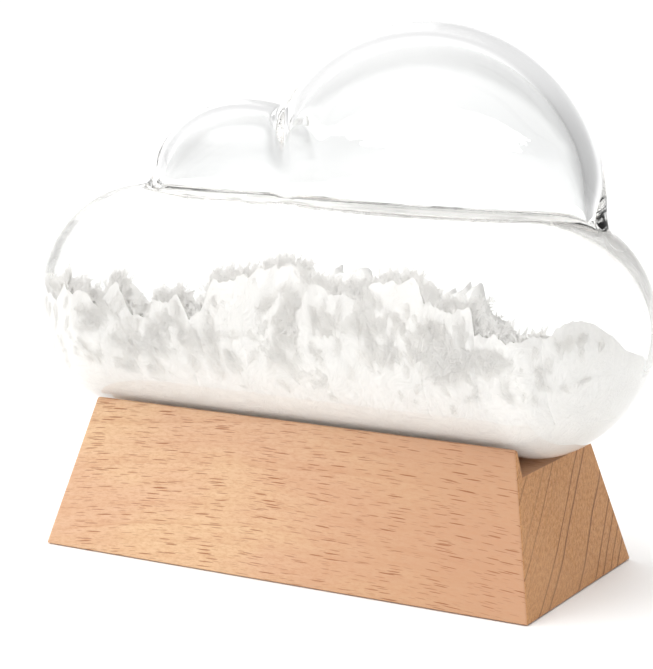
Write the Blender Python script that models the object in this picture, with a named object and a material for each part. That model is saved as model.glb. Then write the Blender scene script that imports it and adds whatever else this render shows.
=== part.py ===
# Storm glass: a closed cloud-shaped glass vessel with clear solution and
# feathery crystals, lying in the channel of a tapered wooden block.
# Units: metres. +Z is up, +X runs along the block, -Y faces the viewer.
# Origin: centre of the block's flat underside.
import math

import bmesh
import bpy
import numpy as np
from mathutils import Vector

GAP = 0.0003                     # clearance between pieces that touch

# ---- wooden block ------------------------------------------------------
BASE_LENGTH = 0.1300             # underside, along X
BASE_DEPTH = 0.0592              # underside, along Y
TOP_LENGTH = 0.1130
TOP_DEPTH = 0.0377
BASE_HEIGHT = 0.0357
EDGE_EASE = 0.0004               # eased outer edges of the block
CHANNEL_FLOOR = 0.0297           # height of the channel's flat floor
CHANNEL_WIDTH = 0.0361
POCKET_RADIUS = 0.0065           # blind hole that clears the fill stem
POCKET_FLOOR = 0.0165

# ---- glass cloud -------------------------------------------------------
WALL = 0.0022                    # glass thickness
BLEND = 0.0014                   # softness of the creases between lobes
# each lobe: centre x, centre z, half length of the straight middle,
# half width x, half depth y, half height z, exponent of the end profile
# above the centre, below it at the left and below it at the right, exponent
# of the depth profile, wall thickness at the ends and at the top (x WALL)
LOWER_LOBE = (0.0004, 0.0585, 0.0542, 0.0252, 0.0296, 0.02834, 2.06, 2.30, 1.80, 2.0, 1.4, 1.0)
BIG_DOME = (0.0248, 0.0859, 0.0, 0.0439, 0.0195, 0.0425, 2.0, 2.0, 2.0, 2.3, 1.8, 1.8)
SMALL_DOME = (-0.0241, 0.0813, 0.0, 0.0282, 0.0165, 0.0277, 2.0, 2.0, 2.0, 2.3, 1.3, 1.3)
NECK_Z = 0.0835                  # the domes are pinched in depth at this height
NECK_FACTOR = 0.55               # depth left at the pinch, relative to the dome
NECK_REACH = 0.0190              # height over which the domes fill out again
STAR_CENTRE = (-0.0090, 0.0, 0.0785)   # inside all three lobes
BIG_STEPS = 28                   # divisions over the big dome
SMALL_STEPS = 15                 # divisions over the small dome
LOWER_ROWS = 8                   # rows from the neck down to the underside
DOME_ROWS = 5                    # rows from the neck up to the ridge

# ---- fill stem and stopper, hidden in the block ------------------------
STEM_RADIUS = 0.0042
STEM_BOTTOM = 0.0200
BORE_RADIUS = 0.0025
PLUG_TOP = 0.0300
HEAD_RADIUS = 0.0040
HEAD_THICKNESS = 0.0017

# ---- contents ----------------------------------------------------------
LIQUID_LEVEL = 0.0848            # surface, in the neck below the domes
BED_TOP = 0.0430                 # top of the packed layer on the bottom
CROWN_DIP = 0.0030               # crystals stand lower at the front and back
Y_STATIONS = (-0.0300, -0.0200, -0.0100, 0.0, 0.0100, 0.0200, 0.0300)
# each plume: x of its foot left and right, then the (x, z) points of its crest
PLUMES = (
    ("crystal_plume_1", -0.0780, -0.0600,
     ((-0.0780, 0.0639), (-0.0735, 0.0650), (-0.0712, 0.0632), (-0.0668, 0.0613), (-0.0628, 0.0591))),
    ("crystal_plume_2", -0.0597, -0.0500,
     ((-0.0625, 0.0591), (-0.0604, 0.0638), (-0.0575, 0.0617), (-0.0550, 0.0624), (-0.0500, 0.0589))),
    ("crystal_plume_3", -0.0497, -0.0395,
     ((-0.0497, 0.0589), (-0.0458, 0.0653), (-0.0440, 0.0645), (-0.0402, 0.0585))),
    ("crystal_plume_4", -0.0392, -0.0262,
     ((-0.0399, 0.0585), (-0.0350, 0.0587), (-0.0336, 0.0622), (-0.0300, 0.0613), (-0.0272, 0.0634), (-0.0240, 0.0584))),
    ("crystal_plume_5", -0.0259, -0.0120,
     ((-0.0237, 0.0584), (-0.0206, 0.0598), (-0.0184, 0.0660), (-0.0150, 0.0657), (-0.0122, 0.0674), (-0.0088, 0.0686))),
    ("crystal_plume_6", -0.0117, 0.0035,
     ((-0.0085, 0.0686), (-0.0060, 0.0698), (-0.0020, 0.0703), (0.0010, 0.0710), (0.0042, 0.0709), (0.0062, 0.0674))),
    ("crystal_plume_7", 0.0038, 0.0185,
     ((0.0065, 0.0674), (0.0100, 0.0677), (0.0140, 0.0669), (0.0180, 0.0672), (0.0212, 0.0662))),
    ("crystal_plume_8", 0.0188, 0.0345,
     ((0.0215, 0.0662), (0.0226, 0.0690), (0.0262, 0.0700), (0.0300, 0.0698), (0.0334, 0.0710), (0.0372, 0.0670))),
    ("crystal_plume_9", 0.0348, 0.0480,
     ((0.0375, 0.0670), (0.0405, 0.0657), (0.0440, 0.0648), (0.0486, 0.0670), (0.0500, 0.0613))),
    ("crystal_plume_10", 0.0483, 0.0620,
     ((0.0503, 0.0613), (0.0545, 0.0617), (0.0590, 0.0606), (0.0640, 0.0626))),
    ("crystal_plume_11", 0.0623, 0.0800,
     ((0.0643, 0.0626), (0.0675, 0.0643), (0.0720, 0.0657), (0.0755, 0.0646), (0.0800, 0.0632))),
)

for old in list(bpy.data.objects):
    bpy.data.objects.remove(old, do_unlink=True)
for old in list(bpy.data.meshes):
    bpy.data.meshes.remove(old)


def material(name, colour, roughness, metallic=0.0, alpha=1.0, transmission=0.0, ior=1.45):
    mat = bpy.data.materials.new(name)
    mat.use_nodes = True
    shader = mat.node_tree.nodes["Principled BSDF"]
    shader.inputs["Base Color"].default_value = (colour[0], colour[1], colour[2], 1.0)
    shader.inputs["Roughness"].default_value = roughness
    shader.inputs["Metallic"].default_value = metallic
    shader.inputs["Alpha"].default_value = alpha
    shader.inputs["Transmission Weight"].default_value = transmission
    shader.inputs["IOR"].default_value = ior
    mat.diffuse_color = (colour[0], colour[1], colour[2], alpha)
    return mat


def add_object(name, verts, faces, mat=None, smooth=False, cutter=False):
    mesh = bpy.data.meshes.new(name)
    mesh.from_pydata([tuple(v) for v in verts], [], faces)
    bm = bmesh.new()
    bm.from_mesh(mesh)
    bmesh.ops.recalc_face_normals(bm, faces=bm.faces)
    if bm.calc_volume(signed=True) < 0:
        bmesh.ops.reverse_faces(bm, faces=bm.faces)
    bm.to_mesh(mesh)
    bm.free()
    for poly in mesh.polygons:
        poly.use_smooth = smooth
    mesh.validate()
    obj = bpy.data.objects.new(name, mesh)
    bpy.context.collection.objects.link(obj)
    if mat is not None:
        mesh.materials.append(mat)
    if cutter:
        obj.hide_render = True
        obj.display_type = "WIRE"
    return obj


def boolean(obj, other, operation):
    mod = obj.modifiers.new(operation.lower() + "_" + other.name, "BOOLEAN")
    mod.operation = operation
    mod.object = other
    mod.solver = "EXACT"


def cylinder(name, radius, z0, z1, steps=40, **kw):
    verts, faces = [], []
    for z in (z0, z1):
        for i in range(steps):
            a = 2.0 * math.pi * i / steps
            verts.append((radius * math.cos(a), radius * math.sin(a), z))
    for i in range(steps):
        j = (i + 1) % steps
        faces.append((i, j, steps + j, steps + i))
    faces.append(tuple(range(steps))[::-1])
    faces.append(tuple(range(steps, 2 * steps)))
    return add_object(name, verts, faces, **kw)


def block(name, rect0, z0, rect1, z1, **kw):
    verts = []
    for (hx, hy), z in ((rect0, z0), (rect1, z1)):
        verts += [(-hx, -hy, z), (hx, -hy, z), (hx, hy, z), (-hx, hy, z)]
    faces = [(3, 2, 1, 0), (4, 5, 6, 7), (0, 1, 5, 4), (1, 2, 6, 5), (2, 3, 7, 6), (3, 0, 4, 7)]
    return add_object(name, verts, faces, **kw)


# ---- the cloud surface -------------------------------------------------
def lobe_distance(p, lobe, shrink, pinched):
    x0, z0, half, a, b, c, top_exp, left_exp, right_exp, q, end_wall, top_wall = lobe
    a, b, c = a - shrink * end_wall, b - shrink, c - shrink * top_wall
    x, y, z = p[:, 0] - x0, np.abs(p[:, 1]), p[:, 2] - z0
    low_exp = np.where(x < 0.0, left_exp, right_exp)
    x = np.abs(x - np.clip(x, -half, half)) / a
    if pinched:
        t = np.clip((p[:, 2] - NECK_Z) / NECK_REACH, 0.0, 1.0)
        grow = NECK_FACTOR + (1.0 - NECK_FACTOR) * (t * t * (3.0 - 2.0 * t))
        b = b * grow
    n = np.where(z >= 0.0, top_exp, low_exp)
    rho = (x ** n + (np.abs(z) / c) ** n) ** (1.0 / n)
    g = (rho ** q + (y / b) ** q) ** (1.0 / q)
    return (g - 1.0) * min(a, c)


def cloud_value(p, shrink):
    f = np.stack([lobe_distance(p, LOWER_LOBE, shrink, False),
                  lobe_distance(p, BIG_DOME, shrink, True),
                  lobe_distance(p, SMALL_DOME, shrink, True)])
    low = f.min(axis=0)
    return low - BLEND * np.log(np.exp(-(f - low) / BLEND).sum(axis=0)) + BLEND * 0.15


def cast(directions, shrink):
    centre = np.array(STAR_CENTRE)
    lo = np.zeros(len(directions))
    hi = np.full(len(directions), 4.0)
    for _ in range(60):
        mid = 0.5 * (lo + hi)
        inside = cloud_value(centre + directions * mid[:, None], shrink) < 0.0
        lo = np.where(inside, mid, lo)
        hi = np.where(inside, hi, mid)
    return centre + directions * lo[:, None]


def half_depth(x, z):
    """Half depth of the cloud at each (x, z) point of its elevation."""
    lo = np.zeros(len(x))
    hi = np.full(len(x), 0.05)
    for _ in range(50):
        mid = 0.5 * (lo + hi)
        inside = cloud_value(np.stack([x, mid, z], axis=1), 0.0) < 0.0
        lo = np.where(inside, mid, lo)
        hi = np.where(inside, hi, mid)
    return lo


def spread(points, count):
    """Points at equal distances along a line of (x, z) points."""
    step = np.linalg.norm(points[1:] - points[:-1], axis=1)
    along = np.concatenate([[0.0], np.cumsum(step)])
    want = np.linspace(0.0, along[-1], count + 1)
    return np.stack([np.interp(want, along, points[:, 0]), np.interp(want, along, points[:, 1])], axis=1)


def cloud_grid():
    """Vertices and triangles of the cloud surface, with edge loops along the
    neck and along the crease between the two domes."""
    fine = 2880
    a = np.arange(fine) * (2.0 * math.pi / fine)
    ring = np.stack([np.cos(a), np.zeros(fine), np.sin(a)], axis=1) * 0.1
    outline = cast(ring, 0.0)
    f = np.stack([lobe_distance(outline, LOWER_LOBE, 0.0, False),
                  lobe_distance(outline, BIG_DOME, 0.0, True),
                  lobe_distance(outline, SMALL_DOME, 0.0, True)])
    owner = f.argmin(axis=0)
    big = np.nonzero(owner == 1)[0]
    small = np.nonzero(owner == 2)[0]
    big = big[np.argsort((a[big] + math.pi / 2) % (2 * math.pi))]
    small = small[np.argsort((a[small] + math.pi / 2) % (2 * math.pi))]
    right, valley, left = big[0], big[-1], small[-1]
    xz = outline[:, [0, 2]]

    def walk(i0, i1):
        idx = [i0]
        while idx[-1] != i1:
            idx.append((idx[-1] + 1) % fine)
        return np.array(idx)

    ridge = np.vstack([spread(xz[walk(right, valley)], BIG_STEPS),
                       spread(xz[walk(valley, left)], SMALL_STEPS)[1:]])
    under = spread(xz[walk(left, right)][::-1], BIG_STEPS + SMALL_STEPS)
    # neck line: where the lower lobe and a dome are equally deep
    vx = xz[valley][0] + 0.0005
    neck_x = np.concatenate([np.linspace(xz[right][0], vx, BIG_STEPS + 1),
                             np.linspace(vx, xz[left][0], SMALL_STEPS + 1)[1:]])
    n = BIG_STEPS + SMALL_STEPS
    neck = []
    for i, x in enumerate(neck_x):
        if i in (0, n):
            neck.append(tuple(xz[right] if i == 0 else xz[left]))
            continue
        zs = np.linspace(0.0760, 0.0875, 400)
        p = np.stack([np.full(400, x), half_depth(np.full(400, x), zs), zs], axis=1)
        g = np.minimum(lobe_distance(p, BIG_DOME, 0.0, True), lobe_distance(p, SMALL_DOME, 0.0, True)) \
            - lobe_distance(p, LOWER_LOBE, 0.0, False)
        hit = np.nonzero(g < 0.0)[0]
        neck.append((x, zs[hit[0]] if len(hit) else 0.0867))
    neck = np.array(neck)

    verts, faces, rows = [], [], {}

    def row(key, points, side):
        x, z = points[:, 0], points[:, 1]
        y = half_depth(x, z) * side
        ids = []
        for i in range(n + 1):
            if i == 0:
                name = "right"
            elif i == n:
                name = "left"
            elif key in ("ridge", "under"):
                name = (key, i)
            else:
                name = (key, side, i)
            if name not in rows:
                rows[name] = len(verts)
                verts.append((x[i], 0.0 if name in ("right", "left") or key in ("ridge", "under") else y[i], z[i]))
            ids.append(rows[name])
        return ids

    for side in (-1.0, 1.0):
        layers = []
        for k in range(LOWER_ROWS, 0, -1):
            t = 0.5 - 0.5 * math.cos(math.pi * k / LOWER_ROWS)
            key = "under" if k == LOWER_ROWS else ("low", k)
            layers.append(row(key, neck + (under - neck) * t, side))
        layers.append(row("neck", neck, side))
        for k in range(1, DOME_ROWS + 1):
            t = math.sin(0.5 * math.pi * k / DOME_ROWS)
            layers.append(row("ridge" if k == DOME_ROWS else ("high", k), neck + (ridge - neck) * t, side))
        for r0, r1 in zip(layers[:-1], layers[1:]):
            for i in range(n):
                for tri in ((r0[i], r0[i + 1], r1[i + 1]), (r0[i], r1[i + 1], r1[i])):
                    if len(set(tri)) == 3:
                        faces.append(tri if side < 0 else tri[::-1])
    return np.array(verts), faces


GRID_POINTS, GRID_FACES = cloud_grid()


def cloud_mesh(name, shrink, **kw):
    directions = GRID_POINTS - np.array(STAR_CENTRE)
    return add_object(name, cast(directions, shrink), GRID_FACES, **kw)


def crest_dip(y):
    return CROWN_DIP * (y / 0.0250) ** 2


def slab(name, top, bottom, **kw):
    """Closed block between two lists of (x, z) points of equal length."""
    count, rows = len(top), len(Y_STATIONS)
    verts = []
    for points, dips in ((top[0], top[1]), (bottom[0], bottom[1])):
        for x, z in points:
            for y in Y_STATIONS:
                verts.append((x, y, z - (crest_dip(y) if dips else 0.0)))
    count = len(top[0])
    off = count * rows
    faces = []
    for i in range(count - 1):
        for j in range(rows - 1):
            a, b = i * rows + j, (i + 1) * rows + j
            faces.append((a, b, b + 1, a + 1))
            faces.append((off + a, off + a + 1, off + b + 1, off + b))
    for i in range(count - 1):
        a, b = i * rows, (i + 1) * rows
        faces.append((a, off + a, off + b, b))
        a, b = i * rows + rows - 1, (i + 1) * rows + rows - 1
        faces.append((a, b, off + b, off + a))
    for j in range(rows - 1):
        a = j
        faces.append((a, a + 1, off + a + 1, off + a))
        a = (count - 1) * rows + j
        faces.append((a, off + a, off + a + 1, a + 1))
    return add_object(name, verts, faces, cutter=True, **kw)


# ---- materials ---------------------------------------------------------
wood = material("beech_wood", (0.62, 0.40, 0.24), 0.55)
glass = material("clear_glass", (0.93, 0.96, 0.97), 0.03, alpha=0.30, transmission=1.0, ior=1.47)
solution = material("clear_solution", (0.88, 0.92, 0.95), 0.05, alpha=0.35, transmission=1.0, ior=1.36)
packed = material("packed_crystals", (0.86, 0.84, 0.78), 0.65)
feather = material("feather_crystals", (0.88, 0.88, 0.87), 0.60)
rubber = material("silicone_rubber", (0.78, 0.78, 0.76), 0.60)

# ---- wooden block ------------------------------------------------------
wood_base = block("wood_base", (BASE_LENGTH / 2, BASE_DEPTH / 2), 0.0,
                  (TOP_LENGTH / 2, TOP_DEPTH / 2), BASE_HEIGHT, mat=wood)
bm = bmesh.new()
bm.from_mesh(wood_base.data)
bmesh.ops.bevel(bm, geom=list(bm.edges), offset=EDGE_EASE, segments=2, profile=0.5,
                affect="EDGES", clamp_overlap=True)
bm.to_mesh(wood_base.data)
bm.free()
channel = block("channel_cutter", (0.08, CHANNEL_WIDTH / 2), CHANNEL_FLOOR,
                (0.08, CHANNEL_WIDTH / 2), 0.05, cutter=True)
pocket = cylinder("pocket_cutter", POCKET_RADIUS, POCKET_FLOOR, 0.034, smooth=True, cutter=True)
boolean(wood_base, channel, "DIFFERENCE")
boolean(wood_base, pocket, "DIFFERENCE")

# ---- glass cloud, hollow, with an open fill stem -----------------------
glass_cloud = cloud_mesh("glass_cloud", 0.0, mat=glass, smooth=True)
stem = cylinder("stem_form", STEM_RADIUS, STEM_BOTTOM, 0.0345, smooth=True, cutter=True)
hollow = cloud_mesh("hollow_cutter", WALL, smooth=True, cutter=True)
bore = cylinder("bore_cutter", BORE_RADIUS, 0.0180, 0.0360, steps=32, smooth=True, cutter=True)
boolean(glass_cloud, stem, "UNION")
boolean(glass_cloud, hollow, "DIFFERENCE")
boolean(glass_cloud, bore, "DIFFERENCE")

# ---- stopper in the fill stem ------------------------------------------
profile = ((0.0, STEM_BOTTOM - GAP - HEAD_THICKNESS), (HEAD_RADIUS, STEM_BOTTOM - GAP - HEAD_THICKNESS),
           (HEAD_RADIUS, STEM_BOTTOM - GAP), (BORE_RADIUS - GAP, STEM_BOTTOM - GAP),
           (BORE_RADIUS - GAP, PLUG_TOP - 0.0006), (BORE_RADIUS - GAP - 0.0006, PLUG_TOP), (0.0, PLUG_TOP))
verts, faces, steps = [(0.0, 0.0, profile[0][1])], [], 32
for r, z in profile[1:-1]:
    for i in range(steps):
        a = 2.0 * math.pi * i / steps
        verts.append((r * math.cos(a), r * math.sin(a), z))
verts.append((0.0, 0.0, profile[-1][1]))
for i in range(steps):
    j = (i + 1) % steps
    faces.append((0, 1 + j, 1 + i))
    for k in range(len(profile) - 3):
        r0, r1 = 1 + k * steps, 1 + (k + 1) * steps
        faces.append((r0 + i, r0 + j, r1 + j, r1 + i))
    r0 = 1 + (len(profile) - 3) * steps
    faces.append((r0 + i, r0 + j, len(verts) - 1))
fill_stopper = add_object("fill_stopper", verts, faces, mat=rubber, smooth=False)

# ---- contents: every piece is the hollow, less a gap, cut to its own share
crest = [point for plume in PLUMES for point in plume[3]]
crest = [(-0.0900, crest[0][1])] + crest[1:-1] + [(0.0900, crest[-1][1])]

storm_solution = cloud_mesh("storm_solution", WALL + GAP, mat=solution, smooth=True)
share = slab("solution_share",
             ([(x, LIQUID_LEVEL) for x, z in crest], False),
             ([(x, z + GAP) for x, z in crest], True))
boolean(storm_solution, share, "INTERSECT")

crystal_bed = cloud_mesh("crystal_bed", WALL + GAP, mat=packed, smooth=True)
share = slab("bed_share", ([(-0.09, BED_TOP), (0.09, BED_TOP)], False),
             ([(-0.09, 0.0250), (0.09, 0.0250)], False))
boolean(crystal_bed, share, "INTERSECT")

plumes = []
for name, foot0, foot1, points in PLUMES:
    plume = cloud_mesh(name, WALL + GAP, mat=feather, smooth=True)
    count = len(points)
    foot = [(foot0 + (foot1 - foot0) * i / (count - 1), BED_TOP + GAP) for i in range(count)]
    share = slab(name + "_share", (list(points), True), (foot, False))
    boolean(plume, share, "INTERSECT")
    plumes.append(plume)

# ---- bodies: the block stands still, the cloud and its contents lift off
base_body = bpy.data.objects.new("base_body", None)
glass_body = bpy.data.objects.new("glass_body", None)
for empty in (base_body, glass_body):
    bpy.context.collection.objects.link(empty)
glass_body.location = (0.0, 0.0, 0.0)
glass_body.parent = base_body
wood_base.parent = base_body
for obj in [glass_cloud, fill_stopper, storm_solution, crystal_bed] + plumes:
    obj.parent = glass_body
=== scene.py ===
# Storm glass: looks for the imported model. Everything is in metres, in the
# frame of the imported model: +Z up, +X along the block, -Y toward the viewer.
import math

import bmesh
import bpy
import numpy as np
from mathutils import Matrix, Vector


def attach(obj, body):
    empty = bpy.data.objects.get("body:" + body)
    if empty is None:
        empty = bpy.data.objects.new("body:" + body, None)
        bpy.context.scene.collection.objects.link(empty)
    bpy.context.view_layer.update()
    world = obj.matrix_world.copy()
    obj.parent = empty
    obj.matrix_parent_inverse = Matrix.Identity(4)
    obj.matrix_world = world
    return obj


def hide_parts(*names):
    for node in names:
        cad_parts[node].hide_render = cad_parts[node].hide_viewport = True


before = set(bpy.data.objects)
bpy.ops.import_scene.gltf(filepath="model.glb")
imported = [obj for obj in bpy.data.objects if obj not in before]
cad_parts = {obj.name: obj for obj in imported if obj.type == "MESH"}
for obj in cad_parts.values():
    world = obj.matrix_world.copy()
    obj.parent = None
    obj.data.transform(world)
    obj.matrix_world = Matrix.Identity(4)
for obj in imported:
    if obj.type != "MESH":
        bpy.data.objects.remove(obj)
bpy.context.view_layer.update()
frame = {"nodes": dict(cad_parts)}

RNG = np.random.default_rng(7)

# ------------------------------------------------------------------ helpers
def new_material(name):
    mat = bpy.data.materials.new(name)
    mat.use_nodes = True
    nodes = mat.node_tree.nodes
    for n in list(nodes):
        nodes.remove(n)
    out = nodes.new("ShaderNodeOutputMaterial")
    return mat, mat.node_tree, out


class Tree:
    """Small builder for node trees."""

    def __init__(self, tree):
        self.tree = tree

    def add(self, kind, inputs=None, **props):
        node = self.tree.nodes.new(kind)
        for key, value in props.items():
            setattr(node, key, value)
        for key, value in (inputs or {}).items():
            socket = node.inputs[key]
            if isinstance(value, bpy.types.NodeSocket):
                self.tree.links.new(value, socket)
            else:
                socket.default_value = value
        return node

    def math(self, op, a, b=0.0, c=None, clamp=False):
        n = self.add("ShaderNodeMath", {0: a, 1: b}, operation=op, use_clamp=clamp)
        if c is not None:
            if isinstance(c, bpy.types.NodeSocket):
                self.tree.links.new(c, n.inputs[2])
            else:
                n.inputs[2].default_value = c
        return n.outputs[0]

    def mix(self, fac, a, b, blend="MIX"):
        n = self.add("ShaderNodeMix", data_type="RGBA", blend_type=blend)
        for idx, value in ((0, fac), (6, a), (7, b)):
            if isinstance(value, bpy.types.NodeSocket):
                self.tree.links.new(value, n.inputs[idx])
            else:
                n.inputs[idx].default_value = value if idx == 0 else (*value, 1.0) if len(value) == 3 else value
        return n.outputs[2]

    def ramp(self, value, low, high, out_low=0.0, out_high=1.0, smooth=True):
        n = self.add("ShaderNodeMapRange", {0: value, 1: low, 2: high, 3: out_low, 4: out_high})
        n.interpolation_type = "SMOOTHSTEP" if smooth else "LINEAR"
        n.clamp = True
        return n.outputs[0]

    def noise(self, vector, scale, detail=3.0, rough=0.5, distortion=0.0):
        n = self.add("ShaderNodeTexNoise", {"Vector": vector, "Scale": scale, "Detail": detail,
                                            "Roughness": rough, "Distortion": distortion})
        return n.outputs["Fac"]

    def combine(self, x, y, z):
        return self.add("ShaderNodeCombineXYZ", {0: x, 1: y, 2: z}).outputs[0]

    def bump(self, height, strength, distance, normal=None):
        n = self.add("ShaderNodeBump", {"Height": height, "Strength": strength, "Distance": distance})
        if normal is not None:
            self.tree.links.new(normal, n.inputs["Normal"])
        return n.outputs[0]


def srgb(r, g, b):
    out = []
    for v in (r, g, b):
        v /= 255.0
        out.append(v / 12.92 if v <= 0.04045 else ((v + 0.055) / 1.055) ** 2.4)
    return tuple(out)


def mesh_object(name, verts, faces, mat, smooth=True, recalc=True):
    mesh = bpy.data.meshes.new(name)
    mesh.from_pydata([tuple(map(float, v)) for v in verts], [], [tuple(f) for f in faces])
    if recalc:
        bm = bmesh.new()
        bm.from_mesh(mesh)
        bmesh.ops.recalc_face_normals(bm, faces=bm.faces)
        bm.to_mesh(mesh)
        bm.free()
    mesh.polygons.foreach_set("use_smooth", np.full(len(mesh.polygons), smooth))
    mesh.update()
    obj = bpy.data.objects.new(name, mesh)
    bpy.context.scene.collection.objects.link(obj)
    if mat is not None:
        mesh.materials.append(mat)
    return obj


# ------------------------------------------------------------ cloud surface
WALL, GAP = 0.0022, 0.0003
BLEND = 0.0014
LOWER_LOBE = (0.0004, 0.0585, 0.0542, 0.0252, 0.0296, 0.02834, 2.06, 2.30, 1.80, 2.0, 1.4, 1.0)
BIG_DOME = (0.0248, 0.0859, 0.0, 0.0439, 0.0195, 0.0425, 2.0, 2.0, 2.0, 2.3, 1.8, 1.8)
SMALL_DOME = (-0.0241, 0.0813, 0.0, 0.0282, 0.0165, 0.0277, 2.0, 2.0, 2.0, 2.3, 1.3, 1.3)
NECK_Z, NECK_FACTOR, NECK_REACH = 0.0835, 0.55, 0.0190
CENTRE = np.array((-0.0090, 0.0, 0.0785))
LEVEL = 0.0848


def lobe_distance(p, lobe, shrink, pinched):
    x0, z0, half, a, b, c, top_exp, left_exp, right_exp, q, end_wall, top_wall = lobe
    a, b, c = a - shrink * end_wall, b - shrink, c - shrink * top_wall
    x, y, z = p[:, 0] - x0, np.abs(p[:, 1]), p[:, 2] - z0
    low_exp = np.where(x < 0.0, left_exp, right_exp)
    x = np.abs(x - np.clip(x, -half, half)) / a
    if pinched:
        t = np.clip((p[:, 2] - NECK_Z) / NECK_REACH, 0.0, 1.0)
        b = b * (NECK_FACTOR + (1.0 - NECK_FACTOR) * (t * t * (3.0 - 2.0 * t)))
    n = np.where(z >= 0.0, top_exp, low_exp)
    rho = (x ** n + (np.abs(z) / c) ** n) ** (1.0 / n)
    g = (rho ** q + (y / b) ** q) ** (1.0 / q)
    return (g - 1.0) * min(a, c)


def lobes(p, shrink):
    return np.stack([lobe_distance(p, LOWER_LOBE, shrink, False),
                     lobe_distance(p, BIG_DOME, shrink, True),
                     lobe_distance(p, SMALL_DOME, shrink, True)])


def cloud_value(p, shrink):
    f = lobes(p, shrink)
    low = f.min(axis=0)
    return low - BLEND * np.log(np.exp(-(f - low) / BLEND).sum(axis=0)) + BLEND * 0.15


def bisect(test, lo, hi, steps=42):
    for _ in range(steps):
        mid = 0.5 * (lo + hi)
        inside = test(mid)
        lo = np.where(inside, mid, lo)
        hi = np.where(inside, hi, mid)
    return lo


def half_depth(x, z, shrink):
    x, z = np.asarray(x, float), np.asarray(z, float)
    return bisect(lambda m: cloud_value(np.stack([x, m, z], axis=1), shrink) < 0.0,
                  np.zeros(len(x)), np.full(len(x), 0.05))


def spread(points, count):
    step = np.linalg.norm(points[1:] - points[:-1], axis=1)
    along = np.concatenate([[0.0], np.cumsum(step)])
    want = np.linspace(0.0, along[-1], count + 1)
    return np.stack([np.interp(want, along, points[:, 0]), np.interp(want, along, points[:, 1])], axis=1)


def cloud_grid(shrink, big_steps, small_steps, lower_rows, dome_rows):
    """Quads of the cloud surface, with edge loops on the neck and the crease."""
    fine = 5760
    a = np.arange(fine) * (2.0 * math.pi / fine)
    ring = np.stack([np.cos(a), np.zeros(fine), np.sin(a)], axis=1) * 0.1
    t = bisect(lambda m: cloud_value(CENTRE + ring * m[:, None], shrink) < 0.0,
               np.zeros(fine), np.full(fine, 4.0))
    outline = CENTRE + ring * t[:, None]
    owner = lobes(outline, shrink).argmin(axis=0)
    big, small = np.nonzero(owner == 1)[0], np.nonzero(owner == 2)[0]
    big = big[np.argsort((a[big] + math.pi / 2) % (2 * math.pi))]
    small = small[np.argsort((a[small] + math.pi / 2) % (2 * math.pi))]
    right, valley, left = big[0], big[-1], small[-1]
    xz = outline[:, [0, 2]]

    def walk(i0, i1):
        return (i0 + np.arange(((i1 - i0) % fine) + 1)) % fine

    ridge = np.vstack([spread(xz[walk(right, valley)], big_steps),
                       spread(xz[walk(valley, left)], small_steps)[1:]])
    n = big_steps + small_steps
    under = spread(xz[walk(left, right)][::-1], n)
    vx = xz[valley][0] + 0.0005
    neck_x = np.concatenate([np.linspace(xz[right][0], vx, big_steps + 1),
                             np.linspace(vx, xz[left][0], small_steps + 1)[1:]])
    zs = np.linspace(0.0740, 0.0875, 700)
    neck = np.zeros((n + 1, 2))
    for i, x in enumerate(neck_x):
        if i in (0, n):
            neck[i] = xz[right] if i == 0 else xz[left]
            continue
        xx = np.full(len(zs), x)
        p = np.stack([xx, half_depth(xx, zs, shrink), zs], axis=1)
        f = lobes(p, shrink)
        hit = np.nonzero(np.minimum(f[1], f[2]) - f[0] < 0.0)[0]
        neck[i] = (x, zs[hit[0]] if len(hit) else zs[-1])
    for _ in range(3):
        neck[1:-1, 1] = 0.25 * neck[:-2, 1] + 0.5 * neck[1:-1, 1] + 0.25 * neck[2:, 1]

    verts, faces, names = [], [], {}

    def row(key, points, side):
        y = half_depth(points[:, 0], points[:, 1], shrink) * side
        ids = []
        for i in range(n + 1):
            flat = key in ("ridge", "under")
            name = "right" if i == 0 else "left" if i == n else (key, i) if flat else (key, side, i)
            if name not in names:
                names[name] = len(verts)
                verts.append((points[i, 0], 0.0 if flat or i in (0, n) else y[i], points[i, 1]))
            ids.append(names[name])
        return ids

    for side in (-1.0, 1.0):
        layers = []
        for k in range(lower_rows, 0, -1):
            t = 0.5 - 0.5 * math.cos(math.pi * k / lower_rows)
            layers.append(row("under" if k == lower_rows else ("low", k), neck + (under - neck) * t, side))
        layers.append(row("neck", neck, side))
        for k in range(1, dome_rows + 1):
            t = math.sin(0.5 * math.pi * k / dome_rows)
            layers.append(row("ridge" if k == dome_rows else ("high", k), neck + (ridge - neck) * t, side))
        for r0, r1 in zip(layers[:-1], layers[1:]):
            for i in range(n):
                quad = [r0[i], r0[i + 1], r1[i + 1], r1[i]]
                quad = [v for j, v in enumerate(quad) if v not in quad[:j]]
                if len(quad) > 2:
                    faces.append(quad if side < 0 else quad[::-1])
    verts = np.array(verts)
    volume = sum(np.dot(verts[f[0]], np.cross(verts[f[i]], verts[f[i + 1]])) for f in faces for i in range(1, len(f) - 1))
    return verts, faces if volume > 0 else [f[::-1] for f in faces]


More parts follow.
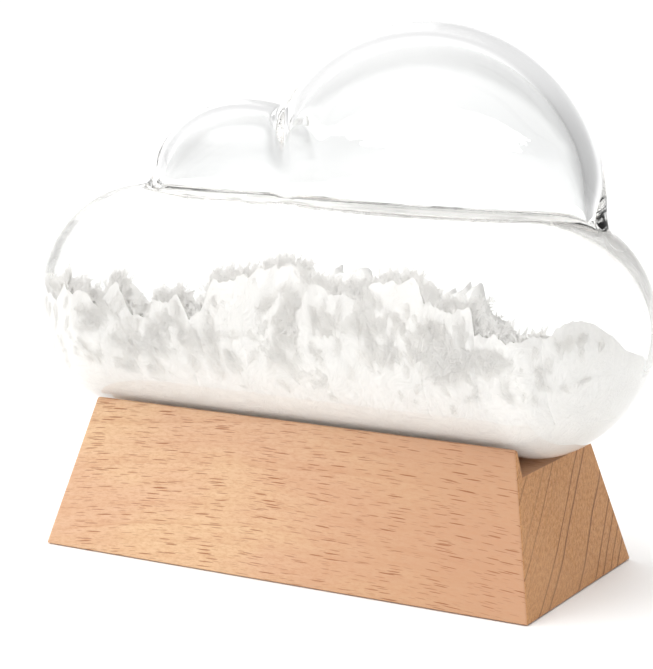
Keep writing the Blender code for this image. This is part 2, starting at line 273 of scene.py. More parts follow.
# ---------------------------------------------------------------- materials
def beech_material():
    mat, tree, out = new_material("beech")
    t = Tree(tree)
    pos = t.add("ShaderNodeTexCoord").outputs["Object"]
    sep = t.add("ShaderNodeSeparateXYZ", {0: pos})
    x, y, z = sep.outputs
    # the grain runs along X, rising a little at the left end
    dx = t.math("SUBTRACT", x, 0.018)
    lift = t.math("MULTIPLY", t.math("MULTIPLY", dx, dx), 0.95)
    sway = t.noise(t.combine(t.math("MULTIPLY", x, 0.35), y, z), 55.0, 1.0)
    sway = t.math("MULTIPLY", t.math("SUBTRACT", sway, 0.5), 0.0030)
    zg = t.math("ADD", t.math("ADD", z, lift), sway)
    # growth rings about a centre far up to the side of the block
    ry = t.math("ADD", y, 0.133)
    rz = t.math("SUBTRACT", zg, 0.174)
    rho = t.math("SQRT", t.math("ADD", t.math("MULTIPLY", ry, ry), t.math("MULTIPLY", rz, rz)))
    wobble = t.noise(t.combine(t.math("MULTIPLY", x, 0.1), y, z), 40.0, 2.0)
    rho = t.math("ADD", rho, t.math("MULTIPLY", wobble, 0.0018))
    ring_cell = t.add("ShaderNodeTexNoise", {"W": t.math("MULTIPLY", rho, 1000.0 / 6.0), "Scale": 1.0,
                                             "Detail": 2.0, "Roughness": 0.6}, noise_dimensions="1D").outputs["Fac"]
    saw = t.math("FRACT", t.math("MULTIPLY", rho, 1000.0 / 3.1))
    late = t.math("POWER", saw, 6.0)
    late = t.math("MULTIPLY", late, t.ramp(ring_cell, 0.40, 0.62))
    # colour: tan, drifting between yellow and pink
    drift = t.noise(t.combine(t.math("MULTIPLY", x, 0.35), y, zg), 60.0, 3.0, 0.55)
    drift2 = t.noise(t.combine(t.math("MULTIPLY", x, 0.12), y, zg), 210.0, 3.0, 0.6)
    yellow, pink = srgb(217, 183, 145), srgb(211, 172, 140)
    colour = t.mix(t.ramp(drift, 0.38, 0.64), yellow, pink)
    colour = t.mix(t.ramp(drift2, 0.35, 0.75, 0.0, 0.30), colour, srgb(208, 166, 133))
    streak = t.noise(t.combine(t.math("MULTIPLY", x, 0.06), y, zg), 900.0, 2.0, 0.6)
    colour = t.mix(t.ramp(streak, 0.35, 0.75, 0.0, 0.30), colour, srgb(198, 150, 114))
    colour = t.mix(t.math("MULTIPLY", late, 0.55), colour, srgb(186, 134, 98))
    # painted shade: the block is painted darker toward its right (+X) end, standing in for light falling off across it
    colour = t.mix(t.ramp(x, -0.035, 0.060, 0.0, 0.80), colour, srgb(184, 138, 106))
    # rays: short dark dashes along the grain; each ray is a thin plate that
    # runs radially, so it is drawn in grain and tangential coordinates
    tau = t.math("ADD", t.math("MULTIPLY", y, 0.788), t.math("MULTIPLY", zg, 0.616))
    masks = []
    for sx, st, cut, seed in ((0.0160, 0.00072, 0.135, 0.0), (0.0120, 0.00060, 0.140, 17.3), (0.0075, 0.00048, 0.140, 41.0)):
        v = t.combine(t.math("MULTIPLY_ADD", x, 1 / sx, seed), t.math("MULTIPLY_ADD", tau, 1 / st, seed), 0.0)
        warp = t.noise(v, 0.8, 2.0)
        v2 = t.add("ShaderNodeVectorMath", {0: v, 1: t.combine(0.0, t.math("MULTIPLY", warp, 0.9), 0.0)},
                   operation="ADD").outputs[0]
        cell = t.add("ShaderNodeTexVoronoi", {"Vector": v2, "Scale": 1.0, "Randomness": 0.95}, voronoi_dimensions="2D")
        strength = t.add("ShaderNodeSeparateColor", {0: cell.outputs["Color"]}).outputs[0]
        reach = t.math("MULTIPLY", t.ramp(strength, 0.0, 1.0, 0.55, 1.25, smooth=False), cut)
        dash = t.math("SUBTRACT", 1.0, t.math("DIVIDE", cell.outputs["Distance"], reach), clamp=True)
        dash = t.ramp(dash, 0.0, 0.35)
        masks.append(t.math("MULTIPLY", dash, t.ramp(strength, 0.1, 0.9, 0.25, 1.0)))
    dashes = t.math("MAXIMUM", t.math("MAXIMUM", masks[0], t.math("MULTIPLY", masks[1], 0.8)), t.math("MULTIPLY", masks[2], 0.45))
    grain = t.noise(t.combine(t.math("MULTIPLY", x, 0.30), y, zg), 2200.0, 3.0, 0.75)
    colour = t.mix(t.ramp(grain, 0.40, 0.68, 0.0, 0.48), colour, srgb(190, 140, 104))
    colour = t.mix(t.math("MULTIPLY", dashes, 0.90), colour, srgb(150, 96, 62))
    # end grain: finer pores and a deeper tone on the faces that cut the fibres
    normal = t.add("ShaderNodeSeparateXYZ", {0: t.add("ShaderNodeNewGeometry").outputs["True Normal"]}).outputs[0]
    end = t.ramp(t.math("ABSOLUTE", normal), 0.55, 0.85)
    pores = t.noise(t.combine(t.math("MULTIPLY", x, 0.2), y, z), 2600.0, 2.0, 0.7)
    fine = t.noise(t.combine(0.0, t.math("MULTIPLY", rho, 4.0), t.math("ADD", y, z)), 500.0, 2.0, 0.6)
    deep = t.mix(t.ramp(fine, 0.35, 0.7), srgb(206, 153, 102), srgb(182, 126, 78))
    deep = t.mix(t.ramp(pores, 0.52, 0.72, 0.0, 0.55), deep, srgb(140, 94, 60))
    deep = t.mix(t.ramp(late, 0.06, 0.6, 0.0, 0.85), deep, srgb(118, 74, 44))
    deep = t.mix(t.ramp(drift, 0.35, 0.7, 0.0, 0.30), deep, srgb(206, 158, 116))
    colour = t.mix(end, colour, deep)
    rough = t.ramp(t.math("ADD", t.math("MULTIPLY", dashes, 0.5), streak), 0.2, 1.2, 0.50, 0.72)
    height = t.math("SUBTRACT", t.math("MULTIPLY", streak, 0.35),
                    t.math("ADD", dashes, t.math("MULTIPLY", t.math("MULTIPLY", pores, end), 0.6)))
    bsdf = t.add("ShaderNodeBsdfPrincipled", {
        "Base Color": colour, "Roughness": rough, "Normal": t.bump(height, 0.35, 0.00012)})
    bsdf.inputs["Specular IOR Level"].default_value = 0.32
    tree.links.new(bsdf.outputs[0], out.inputs["Surface"])
    return mat


def glass_material(name, ior, tint):
    mat, tree, out = new_material(name)
    t = Tree(tree)
    pos = t.add("ShaderNodeTexCoord").outputs["Object"]
    wave = t.noise(pos, 34.0, 2.0, 0.45)
    fine = t.noise(pos, 260.0, 2.0, 0.5)
    height = t.math("ADD", wave, t.math("MULTIPLY", fine, 0.012))
    rough = t.ramp(fine, 0.3, 0.8, 0.0, 0.012)
    bsdf = t.add("ShaderNodeBsdfPrincipled", {
        "Roughness": rough, "Normal": t.bump(height, 0.12, 0.0020)})
    bsdf.inputs["Base Color"].default_value = tint
    bsdf.inputs["IOR"].default_value = ior
    bsdf.inputs["Transmission Weight"].default_value = 1.0
    tree.links.new(bsdf.outputs[0], out.inputs["Surface"])
    return mat


def liquid_material():
    mat, tree, out = new_material("clear_solution")
    t = Tree(tree)
    pos = t.add("ShaderNodeTexCoord").outputs["Object"]
    wave = t.noise(pos, 40.0, 1.0, 0.4)
    bsdf = t.add("ShaderNodeBsdfPrincipled", {
        "Roughness": t.ramp(wave, 0.3, 0.7, 0.0, 0.004), "Normal": t.bump(wave, 0.03, 0.0006)})
    bsdf.inputs["Base Color"].default_value = (0.990, 0.978, 0.955, 1.0)
    bsdf.inputs["IOR"].default_value = 1.36
    bsdf.inputs["Transmission Weight"].default_value = 1.0
    tree.links.new(bsdf.outputs[0], out.inputs["Surface"])
    return mat


def crystal_material(name, warm):
    """White crystal; creamy and smoother low down, greyer in the feathers. Painted light: lighter low down and greyer
    up toward the crest by a colour ramp with height, for light scattered into the lower mass; the fibre marks are the
    crystal's own.
    """
    mat, tree, out = new_material(name)
    t = Tree(tree)
    pos = t.add("ShaderNodeTexCoord").outputs["Object"]
    sep = t.add("ShaderNodeSeparateXYZ", {0: pos})
    x, y, z = sep.outputs
    mottle = t.noise(pos, 120.0, 4.0, 0.6)
    fan = t.noise(pos, 70.0, 2.0, 0.5)
    lean = t.math("MULTIPLY", t.math("SUBTRACT", fan, 0.5), 0.05)
    fibre = t.noise(t.combine(t.math("ADD", x, lean), y, t.math("MULTIPLY", z, 0.14)), 1500.0, 3.0, 0.65)
    # painted light: colour ramps with height, lighter low down and greyer higher up, for light scattered into the lower
    # mass
    high = t.ramp(z, 0.040, 0.064)
    colour = t.mix(high, (0.985, 0.978, 0.955) if warm else (0.985, 0.980, 0.965), (0.915, 0.902, 0.882))
    # painted shade: the band up at the crest is painted greyer still
    colour = t.mix(t.ramp(z, 0.059, 0.070, 0.0, 0.60), colour, (0.840, 0.824, 0.802))
    colour = t.mix(t.ramp(mottle, 0.35, 0.7, 0.0, 0.45), colour, (0.955, 0.950, 0.940))
    colour = t.mix(t.ramp(fibre, 0.42, 0.68, 0.0, 0.36), colour, (0.80, 0.79, 0.775))
    bsdf = t.add("ShaderNodeBsdfPrincipled", {
        "Base Color": colour, "Roughness": t.ramp(fibre, 0.3, 0.8, 0.45, 0.75),
        "Normal": t.bump(fibre, 0.5, 0.0004)})
    bsdf.inputs["Specular IOR Level"].default_value = 0.2
    tree.links.new(bsdf.outputs[0], out.inputs["Surface"])
    return mat


def rubber_material():
    mat, tree, out = new_material("silicone_rubber")
    t = Tree(tree)
    pos = t.add("ShaderNodeTexCoord").outputs["Object"]
    grain = t.noise(pos, 1800.0, 3.0, 0.6)
    blot = t.noise(pos, 240.0, 2.0, 0.5)
    colour = t.mix(blot, (0.60, 0.60, 0.58), (0.70, 0.70, 0.68))
    bsdf = t.add("ShaderNodeBsdfPrincipled", {
        "Base Color": colour, "Roughness": t.ramp(grain, 0.3, 0.7, 0.50, 0.66),
        "Normal": t.bump(grain, 0.2, 0.00008)})
    bsdf.inputs["Specular IOR Level"].default_value = 0.4
    tree.links.new(bsdf.outputs[0], out.inputs["Surface"])
    return mat


def wall_side_material():
    """The side of the solution that touches glass: clear all through."""
    mat, tree, out = new_material("solution_at_wall")
    t = Tree(tree)
    pos = t.add("ShaderNodeTexCoord").outputs["Object"]
    wave = t.noise(pos, 40.0, 1.0, 0.4)
    bsdf = t.add("ShaderNodeBsdfPrincipled", {"Roughness": t.ramp(wave, 0.3, 0.7, 0.0, 0.02)})
    bsdf.inputs["Base Color"].default_value = (1.0, 1.0, 1.0, 1.0)
    bsdf.inputs["IOR"].default_value = 1.36
    bsdf.inputs["Alpha"].default_value = 0.0
    tree.links.new(bsdf.outputs[0], out.inputs["Surface"])
    return mat


beech = beech_material()
glass = glass_material("clear_glass", 1.47, (0.990, 0.993, 0.992, 1.0))
# painted shade: the inner surface of the dry dome is tinted grey so the dome reads soft grey, not a real tint of the
# glass
dry_glass_painted_shade = glass_material("glass_inside_painted_grey", 1.47, (0.885, 0.890, 0.888, 1.0))
# where the solution wets the wall, light only crosses from glass into liquid
wet_glass = glass_material("clear_glass_wetted", 1.47 / 1.36, (0.995, 0.996, 0.993, 1.0))
solution = liquid_material()
solution_wall = wall_side_material()
packed = crystal_material("packed_crystals", True)
feather = crystal_material("feather_crystals", False)
rubber = rubber_material()

# --------------------------------------------------------------- wood block
nodes = frame["nodes"]
nodes["wood_base"].data.materials.clear()
nodes["wood_base"].data.materials.append(beech)
nodes["fill_stopper"].data.materials.clear()
nodes["fill_stopper"].data.materials.append(rubber)

# -------------------------------------------------------------- glass cloud
STEM_R, STEM_BOTTOM, BORE_R = 0.0042, 0.0200, 0.0025
outer_v, outer_f = cloud_grid(0.0, 92, 48, 34, 20)
inner_v, inner_f = cloud_grid(WALL, 92, 48, 34, 20)
off = len(outer_v)
shell = mesh_object("glass_shell", np.vstack([outer_v, inner_v]),
                    list(outer_f) + [[off + i for i in f][::-1] for f in inner_f], glass, recalc=False)

shell.data.materials.append(dry_glass_painted_shade)
shell.data.materials.append(wet_glass)
bm = bmesh.new()
bm.from_mesh(shell.data)
bm.faces.ensure_lookup_table()
inside = bm.faces[len(outer_f):]
geom = list({v for f in inside for v in f.verts}) + list({e for f in inside for e in f.edges}) + list(inside)
for f in inside:
    f.material_index = 1
bmesh.ops.bisect_plane(bm, geom=geom, plane_co=(0, 0, LEVEL + 0.0004), plane_no=(0, 0, 1))
for f in bm.faces:
    if f.material_index == 1 and f.calc_center_median().z < LEVEL + 0.0004:
        f.material_index = 2
bm.to_mesh(shell.data)
bm.free()


def tube(name, profile, steps, mat):
    """Closed ring of revolution from an open (r, z) profile that loops."""
    verts, faces, n = [], [], len(profile)
    for i in range(steps):
        a = 2 * math.pi * i / steps
        for r, z in profile:
            verts.append((r * math.cos(a), r * math.sin(a), z))
    for i in range(steps):
        j = (i + 1) % steps
        for k in range(n):
            m = (k + 1) % n
            faces.append((i * n + k, j * n + k, j * n + m, i * n + m))
    return mesh_object(name, verts, faces, mat)


rim = 0.0006
stem = tube("glass_stem", [(BORE_R, 0.0312), (BORE_R, STEM_BOTTOM + rim), (BORE_R + 0.3 * rim, STEM_BOTTOM + 0.2 * rim),
                           ((BORE_R + STEM_R) / 2, STEM_BOTTOM), (STEM_R - 0.3 * rim, STEM_BOTTOM + 0.2 * rim),
                           (STEM_R, STEM_BOTTOM + rim), (STEM_R, 0.0290), (STEM_R + 0.0012, 0.0303), (STEM_R, 0.0312)],
            64, glass)
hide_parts("glass_cloud")
for piece in (shell, stem):
    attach(piece, "glass")

# ------------------------------------------------------------------- liquid
def liquid_body():
    """The solution: the hollow up to the level, with a raised rim at the wall."""
    shrink = WALL - 0.00006
    v, f = cloud_grid(shrink, 92, 48, 34, 20)
    mesh = bpy.data.meshes.new("liquid_form")
    mesh.from_pydata([tuple(map(float, p)) for p in v], [], f)
    bm = bmesh.new()
    bm.from_mesh(mesh)
    bm.normal_update()
    cut = bmesh.ops.bisect_plane(bm, geom=list(bm.verts) + list(bm.edges) + list(bm.faces),
                                 plane_co=(0, 0, LEVEL + 0.0004), plane_no=(0, 0, 1), clear_outer=True)
    edges = [e for e in cut["geom_cut"] if isinstance(e, bmesh.types.BMEdge)]
    # meniscus: rings that step inward and down to the flat surface
    loop_edges = edges
    for inset, drop in ((0.00014, 0.00016), (0.00024, 0.00012), (0.00036, 0.00008), (0.0005, 0.00004)):
        ext = bmesh.ops.extrude_edge_only(bm, edges=loop_edges)
        ring = [g for g in ext["geom"] if isinstance(g, bmesh.types.BMVert)]
        loop_edges = [g for g in ext["geom"] if isinstance(g, bmesh.types.BMEdge)]
        ringset = set(ring)
        loop_edges = [e for e in loop_edges if e.verts[0] in ringset and e.verts[1] in ringset]
        moves = {}
        for vert in ring:
            p = np.array([vert.co[:]])
            d = 1e-4
            gx = (cloud_value(p + [[d, 0, 0]], shrink) - cloud_value(p - [[d, 0, 0]], shrink))[0]
            gy = (cloud_value(p + [[0, d, 0]], shrink) - cloud_value(p - [[0, d, 0]], shrink))[0]
            n = math.hypot(gx, gy) or 1.0
            moves[vert] = (-gx / n * inset, -gy / n * inset, -drop)
        for vert, m in moves.items():
            vert.co += Vector(m)
    bmesh.ops.triangle_fill(bm, edges=loop_edges, use_beauty=True)
    bmesh.ops.recalc_face_normals(bm, faces=bm.faces)
    bm.to_mesh(mesh)
    bm.free()
    mesh.polygons.foreach_set("use_smooth", np.full(len(mesh.polygons), True))
    mesh.materials.append(solution)
    mesh.materials.append(solution_wall)
    for poly in mesh.polygons:
        rim = all(mesh.vertices[i].co.z > LEVEL - 0.0001 for i in poly.vertices)
        poly.material_index = 0 if rim and (poly.normal.z > 0.25) else 1
    obj = bpy.data.objects.new("solution_body", mesh)
    bpy.context.scene.collection.objects.link(obj)
    return obj


liquid = liquid_body()
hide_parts("storm_solution")
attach(liquid, "glass")

# ----------------------------------------------------------------- crystals
BED_TOP = 0.0430
CREST = (
    ("crystal_plume_1", ((-0.0780, 0.0639), (-0.0735, 0.0650), (-0.0712, 0.0632), (-0.0668, 0.0613), (-0.0628, 0.0591))),
    ("crystal_plume_2", ((-0.0625, 0.0591), (-0.0604, 0.0638), (-0.0575, 0.0617), (-0.0550, 0.0624), (-0.0500, 0.0589))),
    ("crystal_plume_3", ((-0.0497, 0.0589), (-0.0458, 0.0653), (-0.0440, 0.0645), (-0.0402, 0.0585))),
    ("crystal_plume_4", ((-0.0399, 0.0585), (-0.0350, 0.0587), (-0.0336, 0.0622), (-0.0300, 0.0613), (-0.0272, 0.0634), (-0.0240, 0.0584))),
    ("crystal_plume_5", ((-0.0237, 0.0584), (-0.0206, 0.0598), (-0.0184, 0.0660), (-0.0150, 0.0657), (-0.0122, 0.0674), (-0.0088, 0.0686))),
    ("crystal_plume_6", ((-0.0085, 0.0686), (-0.0060, 0.0698), (-0.0020, 0.0703), (0.0010, 0.0710), (0.0042, 0.0709), (0.0062, 0.0674))),
    ("crystal_plume_7", ((0.0065, 0.0674), (0.0100, 0.0677), (0.0140, 0.0669), (0.0180, 0.0672), (0.0212, 0.0662))),
    ("crystal_plume_8", ((0.0215, 0.0662), (0.0226, 0.0690), (0.0262, 0.0700), (0.0300, 0.0698), (0.0334, 0.0710), (0.0372, 0.0670))),
    ("crystal_plume_9", ((0.0375, 0.0670), (0.0405, 0.0657), (0.0440, 0.0648), (0.0486, 0.0670), (0.0500, 0.0613))),
    ("crystal_plume_10", ((0.0503, 0.0613), (0.0545, 0.0617), (0.0590, 0.0606), (0.0640, 0.0626))),
    ("crystal_plume_11", ((0.0643, 0.0626), (0.0675, 0.0643), (0.0720, 0.0657), (0.0755, 0.0646), (0.0800, 0.0632))),
)
cx = np.array([p[0] for _, pts in CREST for p in pts])
cz = np.array([p[1] for _, pts in CREST for p in pts])


def fractal(x, y, z, seed, octaves=4, scale=1.0):
    """Cheap smooth noise: sums of sines with turned directions."""
    rng = np.random.default_rng(seed)
    out = np.zeros(np.broadcast(x, y, z).shape)
    amp, freq = 1.0, scale
    for _ in range(octaves):
        for _ in range(3):
            d = rng.normal(size=3)
            d /= np.linalg.norm(d)
            out = out + amp * np.sin(freq * (d[0] * x + d[1] * y + d[2] * z) + rng.uniform(0, 6.28)) / 1.7
        amp *= 0.55
        freq *= 2.1
    return out


DEEP = WALL + 0.0003              # the crystals lie just inside the wall
STEP = 0.0006
GRID_X = np.arange(-0.0765, 0.0790, STEP)
FIT_Z = np.arange(0.0300, 0.0880, 0.0005)
TABLE = half_depth(np.repeat(GRID_X, len(FIT_Z)), np.tile(FIT_Z, len(GRID_X)), DEEP).reshape(len(GRID_X), len(FIT_Z))


def depth_at(x, z):
    """Half depth just inside the wall, read from the table."""
    x, z = np.broadcast_arrays(np.asarray(x, float), np.asarray(z, float))
    u = np.clip((x - GRID_X[0]) / STEP, 0, len(GRID_X) - 1.001)
    v = np.clip((z - FIT_Z[0]) / 0.0005, 0, len(FIT_Z) - 1.001)
    i, j = u.astype(int), v.astype(int)
    u, v = u - i, v - j
    return (TABLE[i, j] * (1 - u) * (1 - v) + TABLE[i + 1, j] * u * (1 - v)
            + TABLE[i, j + 1] * (1 - u) * v + TABLE[i + 1, j + 1] * u * v)


def crest_height(x, y):
    x, y = np.broadcast_arrays(np.asarray(x, float), np.asarray(y, float))
    rough = 0.0006 * fractal(x, y, 0.0 * x, 11, 5, 900.0)
    back = np.clip((y + 0.0215) / 0.030, 0.0, 1.0)
    swell = 0.0006 + 0.0016 * np.exp(-((x + 0.003) / 0.017) ** 2) + 0.0008 * np.exp(-((x - 0.030) / 0.010) ** 2)
    return np.interp(x, cx, cz) - 0.0145 * back * back * (3 - 2 * back) + swell + rough


def relief(x, z, side):
    """How far the front of the mass stands back from the wall."""
    lean = x + 0.25 * (z - 0.05) * np.sin(x * 160.0 + side)
    f = fractal(lean, 0.0 * x + 0.004 * side, z * 0.35, 5, 4, 650.0)
    feathery = np.clip((z - 0.0400) / 0.0060, 0.0, 1.0)
    return 0.0001 + feathery * (0.0007 + 0.0005 * np.clip(f, -1.4, 1.4))


def mass_part(x0, x1, z_low, z_high=None, rows=46, across=26, own=(-1.0, 1.0)):
    """Closed lump of crystal between x0 and x1, against the wall.

    Beyond its own range it dips under its neighbour, so no gap opens."""
    i0 = int(round((x0 - GRID_X[0]) / STEP))
    i1 = int(round((x1 - GRID_X[0]) / STEP))
    i0, i1 = max(0, i0), min(len(GRID_X) - 1, i1)
    xs = GRID_X[i0:i1 + 1]
    zz = np.arange(0.0300, 0.0880, 0.00025)
    depth = depth_at(xs[:, None], zz[None, :])
    has = depth > 0.0012
    low = np.array([zz[h][0] if h.any() else 0.0585 for h in has])
    top = np.array([zz[h][-1] if h.any() else 0.0585 for h in has])
    start = np.maximum(low, z_low)
    limit = np.interp(xs, cx, cz) - 0.0022 if z_high is None else np.full(len(xs), z_high)
    keep = has.any(axis=1) & (start < limit - 0.0005)
    xs, low, top, start = xs[keep], low[keep], top[keep], start[keep]
    verts, n = [], len(xs)
    dip = np.where((xs < own[0] - 0.0003) | (xs > own[1] + 0.0003), 0.0004, 0.0)
    columns = []
    for side in (-1.0, 1.0):
        if z_high is None:
            end = np.full(n, 0.060)
            for _ in range(6):
                end = crest_height(xs, side * depth_at(xs, end))
        else:
            end = np.full(n, z_high)
        end = np.clip(end - dip, start + 1e-5, np.maximum(top, start + 2e-5))
        s = np.linspace(0.0, 1.0, rows)
        z = start[:, None] + (end - start)[:, None] * s[None, :]
        y = depth_at(xs[:, None] + 0 * z, z)
        y = np.maximum(y - relief(xs[:, None] + 0 * z, z, side) - dip[:, None], 0.0002) * side
        columns.append((y, z))
    (yf, zf), (yb, zb) = columns
    t = np.linspace(0.0, 1.0, across)[1:-1]
    y_top = yf[:, -1:] + (yb[:, -1:] - yf[:, -1:]) * t
    if z_high is None:
        z_top = crest_height(xs[:, None] + 0 * y_top, y_top) - dip[:, None]
        blend = np.minimum(1.0, 4.0 * np.minimum(t, 1 - t))
        z_top = np.minimum(z_top, top[:, None])
        z_top = (zf[:, -1:] + (zb[:, -1:] - zf[:, -1:]) * t) * (1 - blend) + z_top * blend
    else:
        z_top = np.full_like(y_top, z_high)
    y_all = np.concatenate([yf, y_top, yb[:, ::-1]], axis=1)
    z_all = np.concatenate([zf, z_top, zb[:, ::-1]], axis=1)
    m = y_all.shape[1]
    verts = np.stack([np.repeat(xs, m), y_all.ravel(), z_all.ravel()], axis=1)
    faces = []
    for i in range(n - 1):
        for k in range(m):
            a, b = i * m + k, i * m + (k + 1) % m
            faces.append((a, b, b + m, a + m))
    caps = []
    for i, flip in ((0, False), (n - 1, True)):
        c = len(verts) + len(caps)
        caps.append(verts[i * m:(i + 1) * m].mean(axis=0))
        for k in range(m):
            a, b = i * m + k, i * m + (k + 1) % m
            faces.append((c, a, b) if flip else (c, b, a))
    return np.vstack([verts, caps]), faces


def frond(root, direction, normal, length, width, barbs, rng, curl, spread_out=0.42):
    """One feather: a curved spine with slim, slightly folded barbs."""
    direction = direction / np.linalg.norm(direction)
    side = np.cross(normal, direction)
    side /= np.linalg.norm(side)
    normal = np.cross(direction, side)
    s = np.linspace(0.0, 1.0, 9)[:, None]
    pts = root + direction * length * s + side * curl * length * s * s
    p0, p1, w = [pts[:-1]], [pts[1:] + (pts[1:] - pts[:-1]) * 0.3], [width * np.linspace(1.1, 0.5, 8)]
    q = (np.arange(barbs) + 0.6) / barbs
    foot = np.stack([np.interp(q, s[:, 0], pts[:, c]) for c in range(3)], axis=1)
    tang = direction + 2.0 * side * curl * q[:, None]
    tang /= np.linalg.norm(tang, axis=1)[:, None]
    for sign in (-1.0, 1.0):
        reach = length * (spread_out * np.sin(np.pi * np.minimum(1.0, 0.25 + 0.75 * q)) + 0.06) * rng.uniform(0.65, 1.2, barbs)
        lean = rng.uniform(0.45, 0.8, barbs)[:, None]
        d = tang * np.cos(lean) + sign * side * np.sin(lean) + normal * rng.uniform(-0.12, 0.2, barbs)[:, None]
        p0.append(foot)
        p1.append(foot + d * reach[:, None])
        w.append(width * rng.uniform(0.55, 0.95, barbs))
    p0, p1, w = np.vstack(p0), np.vstack(p1), np.concatenate(w)[:, None]
    d = p1 - p0
    d /= np.linalg.norm(d, axis=1)[:, None] + 1e-12
    sd = np.cross(normal, d)
    sd /= np.linalg.norm(sd, axis=1)[:, None] + 1e-12
    mid = 0.6 * p0 + 0.4 * p1
    quad = np.stack([p0 - sd * w * 0.2, mid + sd * w * 0.5 - normal * w * 0.2, p1, mid - sd * w * 0.5 - normal * w * 0.2,
                     0.5 * (p0 + p1) + normal * w * 0.3], axis=1)
    base = 5 * np.arange(len(p0))
    tri = np.array([(0, 1, 4), (1, 2, 4), (2, 3, 4), (3, 0, 4)])
    faces = (base[:, None, None] + tri[None]).reshape(-1, 3)
    return quad.reshape(-1, 3), faces


def plume_mesh(name, points, seed, mat):
    rng = np.random.default_rng(seed)
    x0, x1 = max(points[0][0], -0.0762), min(points[-1][0], 0.0786)
    verts, faces = mass_part(x0 - 0.0007, x1 + 0.0007, BED_TOP, own=(x0, x1))
    all_v, all_f, count = [verts], [list(f) for f in faces], len(verts)
    width = x1 - x0

    def put(v, f):
        nonlocal count
        if (cloud_value(v, WALL + 0.0001) < 0.0).all():
            all_v.append(v)
            all_f.extend((f + count).tolist())
            count += len(v)

    lo_x, hi_x = max(x0, -0.0735), min(x1, 0.0755)
    # fronds that stand up from the crest
    for _ in range(int(15000 * width)):
        x = rng.uniform(lo_x, hi_x)
        half = float(depth_at(x, 0.062)) - 0.0012
        kind = rng.uniform()
        y = -half * rng.uniform(0.90, 1.0) if kind < 0.97 else -half * rng.uniform(0.70, 0.90)
        half = float(depth_at(x, float(crest_height(x, y)))) - 0.0010
        y = math.copysign(min(abs(y), half), y)
        z = float(crest_height(x, y)) - rng.uniform(0.0003, 0.0020)
        length = 0.0018 + 0.0038 * rng.uniform() ** 1.8
        lean = rng.normal(0.0, 0.55)
        d = np.array([math.sin(lean), rng.normal(0, 0.10) - 0.25 * y / half, math.cos(lean)])
        nrm = np.array([rng.normal(0, 0.3), -1.0, rng.normal(0, 0.2)])
        if x > 0.064 or x < -0.072:
            continue
        if x > 0.056 or x < -0.068:
            length *= 0.5
        put(*frond(np.array([x, y, z]), d, nrm, length, 0.00024, 9, rng, rng.normal(0, 0.25), 0.34))
    # fronds that lie on the mass in fans, against the wall
    for _ in range(max(2, int(900 * width))):
        fx = rng.uniform(lo_x, hi_x)
        top = float(np.interp(fx, cx, cz))
        fz = BED_TOP + 0.001 + (top - 0.003 - BED_TOP) * rng.uniform() ** 0.7
        main = rng.normal(0.0, 0.75)
        side = -1.0 if rng.uniform() < 0.68 else 1.0
        for _ in range(15):
            x, z = fx + rng.normal(0, 0.0036), fz + rng.normal(0, 0.0030)
            z = min(z, float(crest_height(x, side * depth_at(x, z))) - 0.0058)
            if not (-0.0735 < x < 0.0760) or z < BED_TOP:
                continue
            y = side * (float(depth_at(x, z)) - rng.uniform(0.0003, 0.0007))
            p = np.array([[x, y, z]])
            e = np.eye(3) * 1e-4
            g = cloud_value(p + e, DEEP) - cloud_value(p - e, DEEP)
            nrm = g / np.linalg.norm(g)
            lean = main + rng.normal(0, 0.16)
            d = np.array([math.sin(lean), 0.0, math.cos(lean)])
            d = d - nrm * d.dot(nrm)
            put(*frond(p[0], d, nrm, rng.uniform(0.0032, 0.0072), 0.00020, 15, rng, rng.normal(0, 0.15)))
    return mesh_object(name.replace("crystal_plume", "feather_plume"), np.vstack(all_v), all_f, mat, smooth=False, recalc=False)


for i, (name, points) in enumerate(CREST):
    obj = plume_mesh(name, points, 100 + i, feather)
    flags = np.array([len(p.vertices) == 4 for p in obj.data.polygons])
    obj.data.polygons.foreach_set("use_smooth", flags)
    obj.data.set_sharp_from_angle(angle=math.radians(48))
    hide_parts(name)
    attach(obj, "glass")

bv, bf = mass_part(-0.0765, 0.0790, 0.0300, z_high=BED_TOP, rows=22)
bed = mesh_object("packed_bed", bv, bf, packed, smooth=True)
bed.data.set_sharp_from_angle(angle=math.radians(48))
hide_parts("crystal_bed")
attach(bed, "glass")

# ----------------------------------------------------------- stage and light
def floor_material():
    mat, tree, out = new_material("pale_floor")
    t = Tree(tree)
    pos = t.add("ShaderNodeTexCoord").outputs["Object"]
    n = t.noise(pos, 30.0, 3.0)
    bsdf = t.add("ShaderNodeBsdfPrincipled", {
        "Base Color": t.mix(n, (0.90, 0.90, 0.895), (0.92, 0.92, 0.915)),
        "Roughness": t.ramp(n, 0.3, 0.7, 0.6, 0.7)})
    bsdf.inputs["Specular IOR Level"].default_value = 0.1
    tree.links.new(bsdf.outputs[0], out.inputs["Surface"])
    return mat


r = 3.0
fv, ff, seg = [], [], 64
fv.append((0, 0, 0))
for i in range(seg):
    fv.append((r * math.cos(2 * math.pi * i / seg), r * math.sin(2 * math.pi * i / seg), 0))
for i in range(seg):
    ff.append((0, 1 + i, 1 + (i + 1) % seg))
floor = mesh_object("floor", fv, ff, floor_material(), smooth=False)
floor.location.z = -0.0002

world = bpy.data.worlds.new("studio")
bpy.context.scene.world = world
world.use_nodes = True
wt = world.node_tree
for n in list(wt.nodes):
    wt.nodes.remove(n)
t = Tree(wt)
wout = t.add("ShaderNodeOutputWorld")
d = t.add("ShaderNodeSeparateXYZ", {0: t.add("ShaderNodeTexCoord").outputs["Generated"]})
wx, wy, wz = d.outputs
right = t.ramp(wx, -0.15, 0.60)                     # darker toward +X
near = t.ramp(wy, 0.20, -0.80)                      # and behind the viewer
up = t.ramp(wz, 0.50, 0.85)
side = t.math("MULTIPLY", t.math("SUBTRACT", 1.0, t.math("MULTIPLY", right, 0.44)),
              t.math("SUBTRACT", 1.0, t.math("MULTIPLY", near, 0.36)))
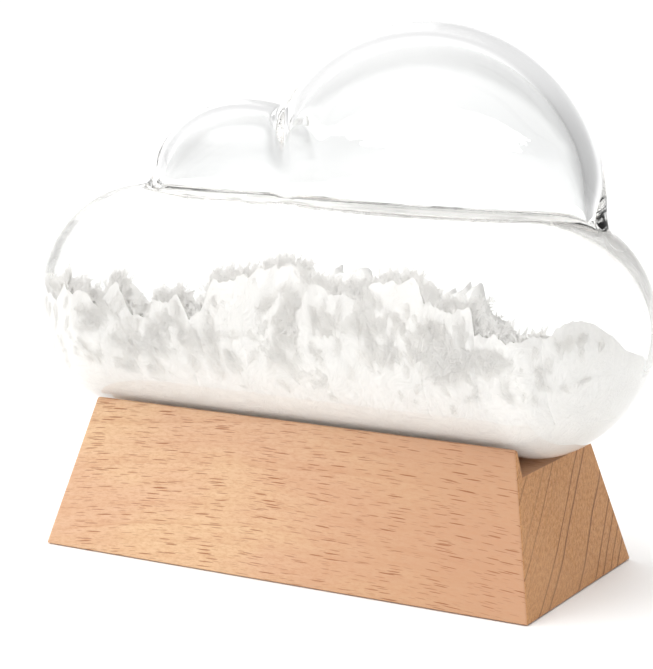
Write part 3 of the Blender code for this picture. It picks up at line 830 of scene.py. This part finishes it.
# a dimmer band above the backdrop draws the upper outlines of the glass
band = t.math("MULTIPLY", t.ramp(wz, 0.03, 0.12), t.ramp(wy, 0.05, 0.45))
side = t.math("MULTIPLY", side, t.math("SUBTRACT", 1.0, t.math("MULTIPLY", band, 0.24)))
level = t.math("ADD", t.math("MULTIPLY", side, t.math("SUBTRACT", 1.0, up)), t.math("MULTIPLY", up, 1.0))
# the big softbox, up and to the left of the viewer, with no hard edge
toward = t.math("ADD", t.math("MULTIPLY", wx, -0.46), t.math("ADD", t.math("MULTIPLY", wy, -0.38), t.math("MULTIPLY", wz, 0.80)))
glow = t.math("POWER", t.math("MAXIMUM", toward, 0.0), 4.0)
level = t.math("ADD", t.math("MULTIPLY", level, 1.06), t.math("MULTIPLY", glow, 2.2))
bg = t.add("ShaderNodeBackground", {"Color": (1.0, 1.0, 1.0, 1.0), "Strength": level})
wt.links.new(bg.outputs[0], wout.inputs["Surface"])


def area(name, place, target, size, power, colour=(1, 1, 1)):
    light = bpy.data.lights.new(name, "AREA")
    light.shape = "RECTANGLE"
    light.size, light.size_y = size
    light.energy = power
    light.color = colour
    obj = bpy.data.objects.new(name, light)
    obj.location = place
    obj.rotation_mode = "QUATERNION"
    obj.rotation_quaternion = (Vector(target) - Vector(place)).to_track_quat("-Z", "Y")
    bpy.context.scene.collection.objects.link(obj)
    return obj


area("fill_light", (-0.55, -1.10, 0.55), (0, 0, 0.04), (0.8, 0.8), 0.6)

# ------------------------------------------------------------------- camera
BASE_L = 0.1300
az, el, dist = math.radians(29.926), math.radians(10.465), 3.9043 * BASE_L
target = Vector((-0.0176 * BASE_L, 0.0, 0.41035 * BASE_L))
back = Vector((math.sin(az) * math.cos(el), -math.cos(az) * math.cos(el), math.sin(el)))
cam_data = bpy.data.cameras.new("camera")
cam_data.lens = 113.98
cam_data.sensor_width = 36.0
cam_data.clip_start, cam_data.clip_end = 0.01, 20.0
cam = bpy.data.objects.new("camera", cam_data)
cam.location = target + back * dist
cam.rotation_mode = "QUATERNION"
cam.rotation_quaternion = (-back).to_track_quat("-Z", "Y")
bpy.context.scene.collection.objects.link(cam)
bpy.context.scene.camera = cam
bpy.context.scene.view_settings.view_transform = "Standard"
bpy.context.scene.view_settings.look = "None"
# light has to find its way in and out through two glass surfaces and the liquid
cycles = bpy.context.scene.cycles
cycles.max_bounces = 64
cycles.transmission_bounces = 60
cycles.glossy_bounces = 32
cycles.diffuse_bounces = 8
cycles.blur_glossy = 0.0

bpy.context.view_layer.update()
